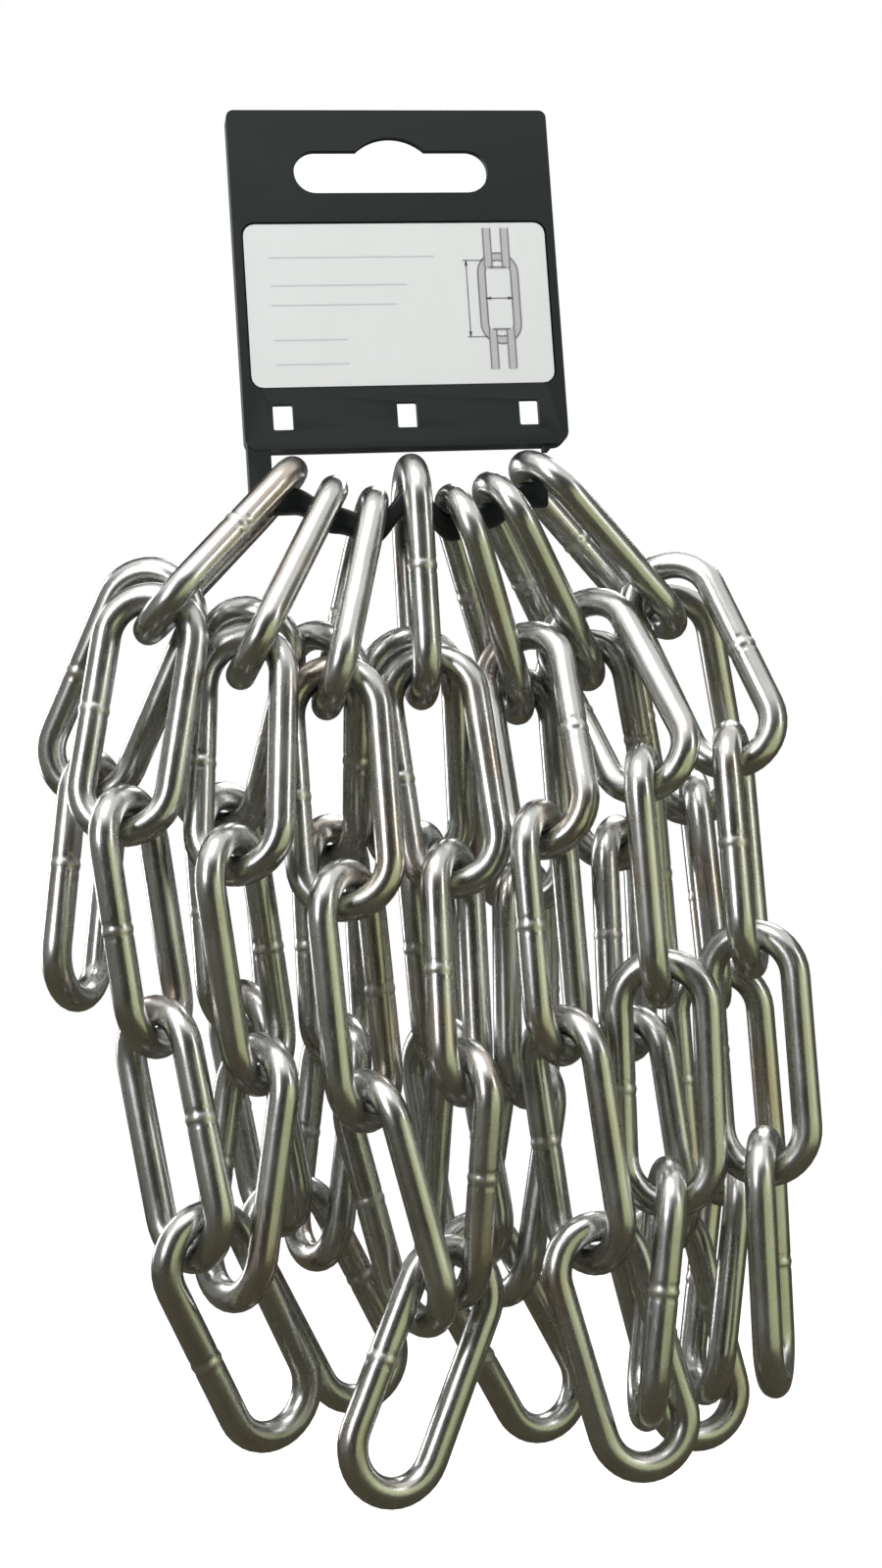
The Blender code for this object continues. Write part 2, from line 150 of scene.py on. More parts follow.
def wrapped(tree, along, length_scale, round_scale):
    """A place on the wire that closes on itself round the wire, so a noise on it has no seam."""
    parts = node(tree, "ShaderNodeSeparateXYZ")
    tree.links.new(along, parts.inputs[0])
    angle = calculate(tree, "MULTIPLY", parts.outputs["Y"], 2 * math.pi)
    values = (
        calculate(tree, "MULTIPLY", parts.outputs["X"], length_scale),
        calculate(tree, "MULTIPLY", calculate(tree, "COSINE", angle), round_scale),
        calculate(tree, "MULTIPLY", calculate(tree, "SINE", angle), round_scale),
    )
    joined = node(tree, "ShaderNodeCombineXYZ")
    for k, value in enumerate(values):
        tree.links.new(value, joined.inputs[k])
    return joined.outputs["Vector"]


def object_place(tree):
    return node(tree, "ShaderNodeTexCoord").outputs["Object"]


def new_material(name):
    """A material, its node tree and its main shader."""
    made = bpy.data.materials.new(name)
    made.use_nodes = True
    return made, made.node_tree, made.node_tree.nodes["Principled BSDF"]


def add_bump(tree, shader, height, strength, distance):
    bump = node(tree, "ShaderNodeBump")
    bump.inputs["Strength"].default_value = strength
    bump.inputs["Distance"].default_value = distance
    tree.links.new(height, bump.inputs["Height"])
    tree.links.new(bump.outputs["Normal"], shader.inputs["Normal"])


def build_plating_group():
    """Bright zinc on drawn wire: patches, lines along the wire, tumbling dents and small scratches."""
    group = bpy.data.node_groups.new("zinc_plating", "ShaderNodeTree")
    for name in ("Along Wire", "Place"):
        socket(group, name, "INPUT", "NodeSocketVector")
    for name in ("Patches", "Warm", "Scratches", "Height"):
        socket(group, name, "OUTPUT", "NodeSocketFloat")
    inside = group.nodes.new("NodeGroupInput")
    out = group.nodes.new("NodeGroupOutput")
    along = inside.outputs["Along Wire"]
    place = inside.outputs["Place"]
    patches = noise(group, place, PATCH_SCALE, 4.0)
    warm = ramp(group, noise(group, place, WARM_SCALE, 2.0), (0.52, 0.0), (0.72, 1.0))
    lines = noise(group, wrapped(group, along, *DRAWN_LINES), 1.0, 2.0, 0.5)
    scratch = noise(group, wrapped(group, along, *SCRATCH_LINES), 1.0, 2.0, 0.5)
    scratch = ramp(group, scratch, (0.60, 0.0), (0.72, 1.0))
    dents = noise(group, place, DENT_SCALE, 1.0, 0.4)
    dents = calculate(group, "MULTIPLY", dents, DENT_HEIGHT)
    height = calculate(group, "MULTIPLY_ADD", lines, LINE_HEIGHT, dents)
    height = calculate(group, "MULTIPLY_ADD", scratch, SCRATCH_HEIGHT, height)
    made = {"Patches": patches, "Warm": warm, "Scratches": scratch, "Height": height}
    for name, value in made.items():
        group.links.new(value, out.inputs[name])
    return group


def zinc_material():
    """Bright plating, dulled and warmed in patches, darker near the weld and pale on its bead."""
    made, tree, shader = new_material("bright_zinc")
    wire = node(tree, "ShaderNodeUVMap", uv_map="along_wire")
    weld = node(tree, "ShaderNodeUVMap", uv_map="from_weld")
    plating = node(tree, "ShaderNodeGroup", node_tree=build_plating_group())
    tree.links.new(wire.outputs["UV"], plating.inputs["Along Wire"])
    tree.links.new(object_place(tree), plating.inputs["Place"])
    parts = node(tree, "ShaderNodeSeparateXYZ")
    tree.links.new(weld.outputs["UV"], parts.inputs[0])
    near_weld = ramp(tree, parts.outputs["X"], (0.0, 1.0), (0.34, 0.0))
    burnt = ramp(tree, parts.outputs["X"], (0.20, 1.0), (1.0, 0.0))
    colour = mix_colour(tree, plating.outputs["Patches"], ZINC_DULL, ZINC_COLOUR)
    warm = calculate(tree, "MULTIPLY", plating.outputs["Warm"], WARM_SHARE)
    colour = mix_colour(tree, warm, colour, ZINC_WARM)
    colour = mix_colour(tree, calculate(tree, "MULTIPLY", burnt, BURNT_SHARE), colour, ZINC_DULL)
    pale = calculate(tree, "MULTIPLY", near_weld, WELD_COLOUR_SHARE)
    tree.links.new(mix_colour(tree, pale, colour, WELD_COLOUR), shader.inputs["Base Color"])
    shader.inputs["Metallic"].default_value = 1.0
    rough = calculate(tree, "MULTIPLY_ADD", plating.outputs["Patches"], PATCH_ROUGH, ZINC_ROUGH)
    rough = calculate(tree, "MULTIPLY_ADD", plating.outputs["Scratches"], SCRATCH_ROUGH, rough)
    rough = calculate(tree, "MULTIPLY_ADD", near_weld, WELD_ROUGH, rough)
    tree.links.new(rough, shader.inputs["Roughness"])
    add_bump(tree, shader, plating.outputs["Height"], ZINC_BUMP, ZINC_RELIEF)
    return made


def linked(name, data):
    """A new object for a mesh, a lamp or a camera, linked into the scene."""
    made = bpy.data.objects.new(name, data)
    bpy.context.scene.collection.objects.link(made)
    return made


def as_object(name, shape):
    """The finished shape as a mesh object."""
    mesh = bpy.data.meshes.new(name)
    shape.to_mesh(mesh)
    shape.free()
    return linked(name, mesh)


def weld_swelling(distance):
    """Extra wire radius near the weld: a low bead of upset metal with a fine groove on each side."""
    bead = math.exp(-2.2 * (distance / WELD_LENGTH) ** 2)
    groove = math.exp(-((abs(distance) - 1.5 * WELD_LENGTH) / (0.4 * WELD_LENGTH)) ** 2)
    return WELD_RISE * bead - WELD_GROOVE * groove


def bend_stations(start, centre, run):
    """Stations of one half circle. The others are explained at link_stations."""
    rows = []
    for k in range(BEND_STATIONS):
        share = k / BEND_STATIONS
        way = (math.cos(start + math.pi * share), math.sin(start + math.pi * share))
        place = (way[0] * BEND_RADIUS, centre + way[1] * BEND_RADIUS)
        rows.append((place, way, 0.0, run + math.pi * BEND_RADIUS * share, FAR_FROM_WELD))
    return rows


def link_stations(weld_place):
    """Round one link: wire centre, outward direction, swelling, running length and distance to the weld."""
    welded = [weld_place + WELD_REACH * share for share in WELD_SHARE]
    before = [-HALF_LEG + (welded[0] + HALF_LEG) * share for share in LEG_SHARE]
    after = [welded[-1] + (HALF_LEG - welded[-1]) * share for share in LEG_SHARE[1:]]
    leg = 2 * HALF_LEG
    bend = math.pi * BEND_RADIUS
    rows = []
    for s in before + welded + after:
        from_weld = s - weld_place
        rows.append(((BEND_RADIUS, s), (1.0, 0.0), weld_swelling(from_weld), s + HALF_LEG, abs(from_weld)))
    rows += bend_stations(0.0, HALF_LEG, leg)
    for k in range(BACK_LEG_STATIONS):
        down = leg * k / BACK_LEG_STATIONS
        rows.append(((-BEND_RADIUS, HALF_LEG - down), (-1.0, 0.0), 0.0, leg + bend + down, FAR_FROM_WELD))
    rows += bend_stations(math.pi, -HALF_LEG, 2 * leg + bend)
    return rows, 2 * (leg + bend)


def link_pose(solid):
    """Centre, length direction and sideways direction of a link, from the spread of its solid's corners."""
    corners = np.array([solid.matrix_world @ v.co for v in solid.data.vertices])
    corners = np.unique(np.round(corners, 7), axis=0)
    centre = corners.mean(axis=0)
    _, ways = np.linalg.eigh(np.cov((corners - centre).T))
    along = ways[:, 2] * (1.0 if ways[2, 2] > 0 else -1.0)
    across = ways[:, 1] * (1.0 if ways[0, 1] > 0 else -1.0)
    return Vector(centre), Vector(along), Vector(across)


def round_link(name, number, centre, along, across):
    """One link of round wire, with the weld on its left or right leg and its own stretch of plating."""
    across = across * (-1.0 if number % RIGHT_WELD_EVERY else 1.0)
    normal = along.cross(across)
    rows, length = link_stations(WELD_WANDER * math.sin(number * WANDER_TURN))
    turns = [2 * math.pi * j / WIRE_SIDES for j in range(WIRE_SIDES)]
    shape = bmesh.new()
    rings = []
    for (u, s), (out_u, out_s), swell, _, _ in rows:
        outward = across * out_u + along * out_s
        middle = centre + across * u + along * s
        ways = [outward * math.cos(turn) + normal * math.sin(turn) for turn in turns]
        rings.append([shape.verts.new(middle + way * (WIRE / 2 + swell)) for way in ways])
    along_wire = shape.loops.layers.uv.new("along_wire")
    from_weld = shape.loops.layers.uv.new("from_weld")
    start = number * PLATING_SHIFT
    runs = [row[3] for row in rows] + [length]
    fars = [min(row[4] / WELD_REACH, 1.0) for row in rows]
    fars.append(fars[0])
    rings.append(rings[0])
    for k in range(len(rows)):
        for j in range(WIRE_SIDES):
            after = (j + 1) % WIRE_SIDES
            face = shape.faces.new((rings[k][j], rings[k][after], rings[k + 1][after], rings[k + 1][j]))
            face.smooth = True
            corners = ((k, j), (k, j + 1), (k + 1, j + 1), (k + 1, j))
            for loop, (station, side) in zip(face.loops, corners):
                loop[along_wire].uv = (start + runs[station] * PLATING_PER_METRE, side / WIRE_SIDES)
                loop[from_weld].uv = (fars[station], 0.5)
    bmesh.ops.recalc_face_normals(shape, faces=shape.faces)
    return as_object(name, shape)


bright_zinc = zinc_material()
for number in range(1, LINK_COUNT + 1):
    solid_name = f"link_{number:02d}"
    link = round_link(f"wire_{solid_name}", number, *link_pose(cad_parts[solid_name]))
    link.data.materials.append(bright_zinc)
    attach(link, f"body_{number:02d}")
    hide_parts(solid_name)


# Hang header. One satin black polypropylene moulding: a thin front web with the hang slot, a label recess
# and three windows, stiffened behind by a rim and ribs, and under it the wavy rail for the links. Its edges
# are a little rounded and its faces finely grained.
HEADER_HALF = 0.0285
HEADER_TOP = 0.005
HEADER_BOTTOM = -0.0555
HEADER_FRONT = -0.002
HEADER_BACK = 0.002
TOP_CORNER = 0.0013
LOW_CORNER = 0.0022
WEB = 0.0014
RIM = 0.0015
EDGE_ROUNDING = 0.00022
SLOT_HALF = 0.01725
SLOT_HEIGHT = 0.0076
HUMP_HALF = 0.0061
HUMP_RISE = 0.0024
SLOT_STEPS = 20
RECESS_HALF = 0.02705
RECESS_TOP = -0.0152
RECESS_BOTTOM = -0.0448
RECESS_CORNER = 0.0023
RECESS_DEPTH = 0.0009
POCKET_COUNT = 3
POCKET_CORNER = 0.0008
WINDOWS = (-0.0217, 0.0, 0.0217)
WINDOW_HALF = 0.00175
WINDOW_TOP = -0.04755
WINDOW_BOTTOM = -0.05205
SMALL_CORNER = 0.0003
CORNER_STEPS = 6
SMALL_STEPS = 3
SEAT_SPACING = 0.0068
SEAT_DEPTHS = (0.0, 0.0035, 0.0055, 0.0, 0.0055, 0.0035, 0.0)
RAIL_TOP = -0.0620
RAIL_THICKNESS = 0.0044
RAIL_HALF = 0.0019
RAIL_ROUNDING = 0.0011
RAIL_LEFT = -0.0262
RAIL_RIGHT = 0.0240
RAIL_STATIONS = 72
RAIL_STEPS = 4
TIP_RISE = 0.0012
TIP_LENGTH = 0.0016
TIP_SLOPE = 0.0008
POST = (-0.0282, -0.0242)
CATCH = (0.0240, 0.0252)
CATCH_HALF = 0.0010
CATCH_DEPTH = 0.0012
BEVEL_STEPS = 2
BEVEL_ANGLE = 40
SHARP_ANGLE = 50
FACE_WEIGHT = 100
PLASTIC_COLOUR = (0.0045, 0.0092, 0.0085, 1.0)
PLASTIC_WORN = (0.019, 0.027, 0.026, 1.0)
GRAIN_SCALE = 5200.0
FLOW_STRETCH = (40.0, 40.0, 160.0)
SCUFF_STRETCH = (900.0, 900.0, 120.0)
SCUFF_SHARE = 0.25
EDGE_SHARE = 0.5
PLASTIC_ROUGH = 0.36
FLOW_ROUGH = 0.14
GRAIN_ROUGH = 0.08
GRAIN_BUMP = 0.25
GRAIN_RELIEF = 0.00003


def stretched(tree, place, scale):
    made = node(tree, "ShaderNodeMapping")
    made.inputs["Scale"].default_value = scale
    tree.links.new(place, made.inputs["Vector"])
    return made.outputs["Vector"]


def plastic_material():
    """Black plastic with a fine grain, faint flow marks and paler scuffs on faces and edges."""
    made, tree, shader = new_material("black_moulding")
    place = object_place(tree)
    grain = noise(tree, place, GRAIN_SCALE, 2.0, 0.6)
    flow = noise(tree, stretched(tree, place, FLOW_STRETCH), 1.0, 3.0)
    scuff = noise(tree, stretched(tree, place, SCUFF_STRETCH), 1.0, 3.0, 0.7)
    scuff = ramp(tree, scuff, (0.60, 0.0), (0.78, 1.0))
    pointed = node(tree, "ShaderNodeNewGeometry").outputs["Pointiness"]
    pointed = ramp(tree, pointed, (0.53, 0.0), (0.62, 1.0))
    scuff = calculate(tree, "MULTIPLY", scuff, SCUFF_SHARE)
    pointed = calculate(tree, "MULTIPLY", pointed, EDGE_SHARE)
    worn = calculate(tree, "MAXIMUM", scuff, pointed)
    tree.links.new(mix_colour(tree, worn, PLASTIC_COLOUR, PLASTIC_WORN), shader.inputs["Base Color"])
    rough = calculate(tree, "MULTIPLY_ADD", flow, FLOW_ROUGH, PLASTIC_ROUGH)
    rough = calculate(tree, "MULTIPLY_ADD", grain, GRAIN_ROUGH, rough)
    tree.links.new(rough, shader.inputs["Roughness"])
    add_bump(tree, shader, grain, GRAIN_BUMP, GRAIN_RELIEF)
    return made


def arc(cx, cz, radius, start, end, steps):
    """Points on a circle from one angle to the other, in degrees."""
    turns = [math.radians(start + (end - start) * k / steps) for k in range(steps + 1)]
    return [(cx + radius * math.cos(t), cz + radius * math.sin(t)) for t in turns]


def rounded_outline(left, right, low, high, radius_low, radius_high, steps=CORNER_STEPS):
    return (
        arc(right - radius_low, low + radius_low, radius_low, -90, 0, steps)
        + arc(right - radius_high, high - radius_high, radius_high, 0, 90, steps)
        + arc(left + radius_high, high - radius_high, radius_high, 90, 180, steps)
        + arc(left + radius_low, low + radius_low, radius_low, 180, 270, steps)
    )


def slot_outline():
    """A slot with round ends and a shallow arched hump for the peg."""
    high = -HUMP_RISE
    end = SLOT_HEIGHT / 2
    reach = SLOT_HALF - end
    radius = (HUMP_HALF ** 2 + HUMP_RISE ** 2) / (2 * HUMP_RISE)
    spread = math.degrees(math.asin(HUMP_HALF / radius))
    return (
        arc(reach, high - end, end, -90, 90, SLOT_STEPS)
        + arc(0.0, -radius, radius, 90 - spread, 90 + spread, SLOT_STEPS)
        + arc(-reach, high - end, end, 90, 270, SLOT_STEPS)
    )


def extruded(name, outline, front, back):
    """The outline extruded from one depth to the other, as an object."""
    shape = bmesh.new()
    face = shape.faces.new([shape.verts.new((x, front, z)) for x, z in outline])
    grown = bmesh.ops.extrude_face_region(shape, geom=[face])
    moved = [v for v in grown["geom"] if isinstance(v, bmesh.types.BMVert)]
    bmesh.ops.translate(shape, verts=moved, vec=(0.0, back - front, 0.0))
    bmesh.ops.recalc_face_normals(shape, faces=shape.faces)
    return as_object(name, shape)


def seat_depth(x):
    """How far the rail's top lies below its highest level, eased from seat to seat."""
    last = len(SEAT_DEPTHS) - 1
    place = min(max(x / SEAT_SPACING + last / 2, 0.0), last)
    before = min(int(place), last - 1)
    ease = (1 - math.cos(math.pi * (place - before))) / 2
    return SEAT_DEPTHS[before] + (SEAT_DEPTHS[before + 1] - SEAT_DEPTHS[before]) * ease


def wavy_rail():
    """The rail as rounded sections along X, with its tip turned up a little."""
    shape = bmesh.new()
    rings = []
    for k in range(RAIL_STATIONS + 1):
        x = RAIL_LEFT + (RAIL_RIGHT - RAIL_LEFT) * k / RAIL_STATIONS
        tip = min(max((x - RAIL_RIGHT + TIP_LENGTH) / TIP_SLOPE, 0.0), 1.0)
        high = RAIL_TOP - seat_depth(x) + TIP_RISE * tip
        low = RAIL_TOP - seat_depth(x) - RAIL_THICKNESS
        section = rounded_outline(-RAIL_HALF, RAIL_HALF, low, high, RAIL_ROUNDING, RAIL_ROUNDING, RAIL_STEPS)
        rings.append([shape.verts.new((x, y, z)) for y, z in section])
    for ring, following in zip(rings, rings[1:]):
        for j in range(len(ring)):
            after = (j + 1) % len(ring)
            shape.faces.new((ring[j], ring[after], following[after], following[j]))
    shape.faces.new(rings[0])
    shape.faces.new(rings[-1])
    bmesh.ops.recalc_face_normals(shape, faces=shape.faces)
    return as_object("rail_form", shape)


def small_block(name, left, right, low, high, front, back):
    outline = rounded_outline(left, right, low, high, SMALL_CORNER, SMALL_CORNER, SMALL_STEPS)
    return extruded(name, outline, front, back)


def pocket(name, left, right, low, high):
    """A hollow in the header's back that leaves the web in front."""
    outline = rounded_outline(left, right, low, high, POCKET_CORNER, POCKET_CORNER)
    return extruded(name, outline, HEADER_FRONT + WEB, 2 * HEADER_BACK)


def header_cuts():
    """What the plate loses: slot, recess, windows and the hollows of its back."""
    through = (2 * HEADER_FRONT, 2 * HEADER_BACK)
    recess = rounded_outline(
        -RECESS_HALF, RECESS_HALF, RECESS_BOTTOM, RECESS_TOP, RECESS_CORNER, RECESS_CORNER,
    )
    cuts = [
        extruded("slot_cut", slot_outline(), *through),
        extruded("recess_cut", recess, 2 * HEADER_FRONT, HEADER_FRONT + RECESS_DEPTH),
    ]
    for k, middle in enumerate(WINDOWS):
        sides = (middle - WINDOW_HALF, middle + WINDOW_HALF)
        cuts.append(small_block(f"window_cut_{k}", *sides, WINDOW_BOTTOM, WINDOW_TOP, *through))
    inner = HEADER_HALF - RIM
    cuts.append(pocket("upper_pocket", -inner, inner, RECESS_TOP + RIM / 2, HEADER_TOP - RIM))
    cuts.append(pocket("lower_pocket", -inner, inner, HEADER_BOTTOM + RIM, RECESS_BOTTOM - RIM / 2))
    width = (2 * inner - (POCKET_COUNT - 1) * RIM) / POCKET_COUNT
    for k in range(POCKET_COUNT):
        left = -inner + k * (width + RIM)
        heights = (RECESS_BOTTOM + RIM / 2, RECESS_TOP - RIM / 2)
        cuts.append(pocket(f"label_pocket_{k}", left, left + width, *heights))
    return cuts


def header_joins():
    """What the plate gains: the post, the rail and the catch over its tip."""
    post_heights = (RAIL_TOP - RAIL_THICKNESS, HEADER_BOTTOM + RAIL_ROUNDING)
    catch_heights = (HEADER_BOTTOM - CATCH_HALF, HEADER_BOTTOM + CATCH_HALF)
    return [
        small_block("post_form", *POST, *post_heights, -RAIL_HALF, RAIL_HALF),
        wavy_rail(),
        small_block("catch_form", *CATCH, *catch_heights, -CATCH_DEPTH, CATCH_DEPTH),
    ]


def moulded_header():
    """The whole moulding, cut and joined from its forms, with its edges rounded."""
    plate = rounded_outline(-HEADER_HALF, HEADER_HALF, HEADER_BOTTOM, HEADER_TOP, LOW_CORNER, TOP_CORNER)
    made = extruded("header_moulding", plate, HEADER_FRONT, HEADER_BACK)
    cuts = header_cuts()
    joins = header_joins()
    for form in cuts + joins:
        step = made.modifiers.new(form.name, "BOOLEAN")
        step.object = form
        step.operation = "DIFFERENCE" if form in cuts else "UNION"
        step.solver = "EXACT"
    rounded = made.modifiers.new("rounded_edges", "BEVEL")
    rounded.width = EDGE_ROUNDING
    rounded.segments = BEVEL_STEPS
    rounded.limit_method = "ANGLE"
    rounded.angle_limit = math.radians(BEVEL_ANGLE)
    bpy.context.view_layer.update()
    shaped = made.evaluated_get(bpy.context.evaluated_depsgraph_get())
    finished = bpy.data.meshes.new_from_object(shaped)
    made.modifiers.clear()
    made.data = finished
    finished.shade_smooth()
    finished.set_sharp_from_angle(angle=math.radians(SHARP_ANGLE))
    evened = made.modifiers.new("even_faces", "WEIGHTED_NORMAL")
    evened.weight = FACE_WEIGHT
    evened.keep_sharp = True
    for form in cuts + joins:
        bpy.data.objects.remove(form)
    return made


header = moulded_header()
header.data.materials.append(plastic_material())
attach(header, "header_body")
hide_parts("header")


# Label. A thin white coated card glued into the header's recess. Its drawing is plain grey print: one link
# with parts of its neighbours and two dimension arrows, and rules where a shop writes.
CARD_COLOUR = (0.70, 0.71, 0.69, 1.0)
CARD_SHADE = (0.63, 0.64, 0.62, 1.0)
CLOUD_SCALE = 60.0
CLOUD_SHARE = 0.7
FIBRE_SCALE = 3800.0
CARD_ROUGH = 0.28
CLOUD_ROUGH = 0.2
CARD_BUMP = 0.12
CARD_RELIEF = 0.00003
PRINT_COLOUR = (0.16, 0.16, 0.17, 1.0)
PRINT_PALE = (0.42, 0.42, 0.43, 1.0)
PRINT_METAL = (0.36, 0.355, 0.35, 1.0)
PRINT_ROUGH = 0.4
SPECK_SCALE = 5000.0
SPECK_GAIN = 1.5
PRINT_LIFT = 0.00003
PRINT_LINE = 0.00028
FINE_LINE = 0.8 * PRINT_LINE
ARROW_LINE = 0.7 * PRINT_LINE
WITNESS_LINE = 0.6 * PRINT_LINE
ARROW_HEAD = 3.4 * PRINT_LINE
ARROW_HALF_WIDTH = 0.35
DRAWN_LINK = (0.0178, -0.0292)
DRAWN_HALF_LEG = 0.0046
DRAWN_RADIUS = 0.0036
DRAWN_WIRE = 0.0013
OUTLINE_POINTS = 48
NEIGHBOUR_OFFSET = 0.0016
NEIGHBOUR_REACH = 0.0045
ARROW_GAP = 0.0020
ARROW_INSET = 0.0005
WITNESS_LEFT = 0.0006
WITNESS_RIGHT = 0.0026
RULE_LEFT = -0.0225
RULES = ((-0.0215, 0.0290), (-0.0265, 0.0240), (-0.0300, 0.0220), (-0.0362, 0.0130), (-0.0405, 0.0130))


def card_material():
    made, tree, shader = new_material("coated_card")
    place = object_place(tree)
    cloud = noise(tree, place, CLOUD_SCALE, 3.0)
    fibre = noise(tree, place, FIBRE_SCALE, 3.0, 0.7)
    colour = mix_colour(tree, calculate(tree, "MULTIPLY", cloud, CLOUD_SHARE), CARD_COLOUR, CARD_SHADE)
    tree.links.new(colour, shader.inputs["Base Color"])
    rough = calculate(tree, "MULTIPLY_ADD", cloud, CLOUD_ROUGH, CARD_ROUGH)
    tree.links.new(rough, shader.inputs["Roughness"])
    add_bump(tree, shader, fibre, CARD_BUMP, CARD_RELIEF)
    return made


def print_material(name, colour):
    made, tree, shader = new_material(name)
    speck = noise(tree, object_place(tree), SPECK_SCALE, 2.0)
    paler = tuple(min(1.0, c * SPECK_GAIN) for c in colour[:3]) + (1.0,)
    tree.links.new(mix_colour(tree, speck, colour, paler), shader.inputs["Base Color"])
    shader.inputs["Roughness"].default_value = PRINT_ROUGH
    return made


def stroke(shape, points, depth, width, closed=False):
    """A flat printed line of even width through points of the X-Z plane."""
    count = len(points)
    sides = []
    for k, (x, z) in enumerate(points):
        before = points[k - 1] if (k or closed) else points[k]
        after = points[(k + 1) % count] if (k + 1 < count or closed) else points[k]
        way = Vector((after[0] - before[0], after[1] - before[1])).normalized()
        off = Vector((-way.y, way.x)) * width / 2
        corners = ((x + off.x, depth, z + off.y), (x - off.x, depth, z - off.y))
        sides.append([shape.verts.new(corner) for corner in corners])
    for k in range(count if closed else count - 1):
        first, second = sides[k], sides[(k + 1) % count]
        shape.faces.new((first[0], second[0], second[1], first[1]))


def stadium(cx, cz, radius, half_leg):
    """Points of a link's outline, clockwise from the top."""
    leg = 2 * half_leg
    bend = math.pi * radius
    total = 2 * (leg + bend)
    points = []
    for k in range(OUTLINE_POINTS):
        s = (k / OUTLINE_POINTS * total + bend / 2) % total
        if s < bend:
            turn = math.pi * (1 - s / bend)
            points.append((cx + radius * math.cos(turn), cz + half_leg + radius * math.sin(turn)))
        elif s < bend + leg:
            points.append((cx + radius, cz + half_leg - (s - bend)))
        elif s < 2 * bend + leg:
            turn = -math.pi * (s - bend - leg) / bend
            points.append((cx + radius * math.cos(turn), cz - half_leg + radius * math.sin(turn)))
        else:
            points.append((cx - radius, cz - half_leg + (s - 2 * bend - leg)))
    return points


def arrow(shape, start, end, depth):
    """A thin line with a small head at each end."""
    stroke(shape, [start, end], depth, ARROW_LINE)
    way = Vector((end[0] - start[0], end[1] - start[1])).normalized()
    side = Vector((-way.y, way.x)) * ARROW_HEAD * ARROW_HALF_WIDTH
    for tip, toward in ((end, -way), (start, way)):
        base = Vector(tip) + toward * ARROW_HEAD
        corners = [Vector(tip), base + side, base - side]
        shape.faces.new([shape.verts.new((c.x, depth, c.y)) for c in corners])


def printed(name, shape, material):
    """The print as its own thin piece on the card."""
    bmesh.ops.recalc_face_normals(shape, faces=shape.faces)
    for face in shape.faces:
        if face.normal.y > 0:
            face.normal_flip()
    made = as_object(name, shape)
    made.data.materials.append(material)
    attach(made, "header_body")


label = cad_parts["label"]
label.data.materials.clear()
label.data.materials.append(card_material())
label_low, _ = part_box("label")
layers = [label_low[1] - PRINT_LIFT * k for k in range(1, 5)]

link_x, link_z = DRAWN_LINK
reach = DRAWN_HALF_LEG + DRAWN_RADIUS
inside = reach - DRAWN_WIRE
middle_line = DRAWN_RADIUS - DRAWN_WIRE / 2
metal = bmesh.new()
drawing = bmesh.new()
stroke(metal, stadium(link_x, link_z, middle_line, DRAWN_HALF_LEG), layers[0], DRAWN_WIRE, closed=True)
for radius in (DRAWN_RADIUS, DRAWN_RADIUS - DRAWN_WIRE):
    outline = stadium(link_x, link_z, radius, DRAWN_HALF_LEG)
    stroke(drawing, outline, layers[1], PRINT_LINE, closed=True)
for side in (-1, 1):
    hold = link_z + side * (reach - 2 * DRAWN_WIRE)
    outer = link_z + side * (reach + NEIGHBOUR_REACH)
    for offset in (-NEIGHBOUR_OFFSET, NEIGHBOUR_OFFSET):
        wire_x = link_x + offset
        stroke(metal, [(wire_x, hold), (wire_x, outer)], layers[2], DRAWN_WIRE)
        for x in (wire_x - DRAWN_WIRE / 2, wire_x + DRAWN_WIRE / 2):
            stroke(drawing, [(x, hold), (x, outer)], layers[3], FINE_LINE)
    ends = [(link_x - NEIGHBOUR_OFFSET, hold), (link_x + NEIGHBOUR_OFFSET, hold)]
    stroke(drawing, ends, layers[3], PRINT_LINE)
arrow_x = link_x - DRAWN_RADIUS - ARROW_GAP
across_half = middle_line - ARROW_INSET
arrow(drawing, (arrow_x, link_z - inside), (arrow_x, link_z + inside), layers[1])
arrow(drawing, (link_x - across_half, link_z), (link_x + across_half, link_z), layers[1])
for side in (-1, 1):
    end_z = link_z + side * inside
    ends = [(arrow_x - WITNESS_LEFT, end_z), (link_x - WITNESS_RIGHT, end_z)]
    stroke(drawing, ends, layers[1], WITNESS_LINE)
printed("label_drawn_metal", metal, print_material("metal_print", PRINT_METAL))
printed("label_drawing", drawing, print_material("grey_print", PRINT_COLOUR))

rules = bmesh.new()
for height, length in RULES:
    stroke(rules, [(RULE_LEFT, height), (RULE_LEFT + length, height)], layers[0], FINE_LINE)
printed("label_rules", rules, print_material("pale_print", PRINT_PALE))


# Stand for the picture: a pale floor below the hanging bundle, and a small photo studio round it. The dark
# and coloured cards are seen only by what shines, so that the bright wire gets its dark cores and tints.
BUNDLE_MIDDLE = (0.0, 0.0, -0.12)
FLOOR_SIZE = 8.0
FLOOR_HEIGHT = -0.30
FLOOR_COLOUR = (0.86, 0.86, 0.85, 1.0)
FLOOR_GLOW = 0.62
WHITE = (1.0, 1.0, 1.0, 1.0)
STAND_ROUGH = 0.9
STAND_SPECULAR = 0.2
WORLD_LIGHT = (0.95, 0.97, 1.0, 1.0)
WORLD_STRENGTH = 0.45


def plain_material(name, colour):
    made, _, shader = new_material(name)
    shader.inputs["Base Color"].default_value = colour
    shader.inputs["Roughness"].default_value = STAND_ROUGH
    shader.inputs["Specular IOR Level"].default_value = STAND_SPECULAR
    return made


def seen_by_mirrors_too(tree):
    """One where the camera, a mirror or glass looks, and nothing where light is scattered."""
    rays = node(tree, "ShaderNodeLightPath")
    shown = calculate(tree, "MAXIMUM", rays.outputs["Is Camera Ray"], rays.outputs["Is Glossy Ray"])
    return calculate(tree, "MAXIMUM", shown, rays.outputs["Is Transmission Ray"])


